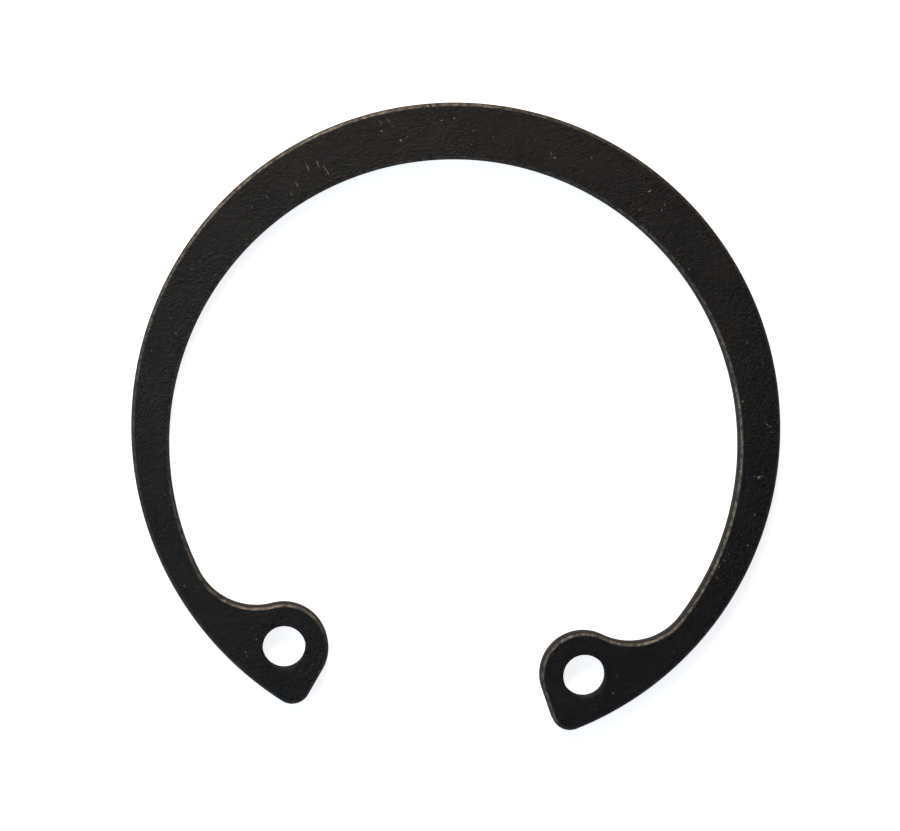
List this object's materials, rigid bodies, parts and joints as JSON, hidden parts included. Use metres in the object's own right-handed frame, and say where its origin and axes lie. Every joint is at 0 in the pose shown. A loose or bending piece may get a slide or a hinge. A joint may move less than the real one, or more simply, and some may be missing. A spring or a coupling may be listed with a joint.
{
  "type": "internal retaining ring",
  "caption": "Flat open spring-steel ring for a groove in a bore, with a beam that tapers from its back to inward lugs, each pierced for retaining ring pliers.",
  "frame": {"origin": "on the axis of the ring's round outer edge, in the plane of the lower face, which is the face that the ring lies on", "axes": "+Z along the ring's axis, out of the upper face; +Y from the axis to the back of the beam, so the gap between the lugs opens towards -Y; X across the ring, through neither lug"},
  "size_m": [0.0378, 0.0358, 0.0015],
  "materials": {
    "blackened_spring_steel": "black phosphate and oil over blanked spring steel, satin, with fine pale specks and rubbed edges"
  },
  "bodies": {
    "root": {"retaining_ring": "blackened_spring_steel"}
  },
  "joints": []
}
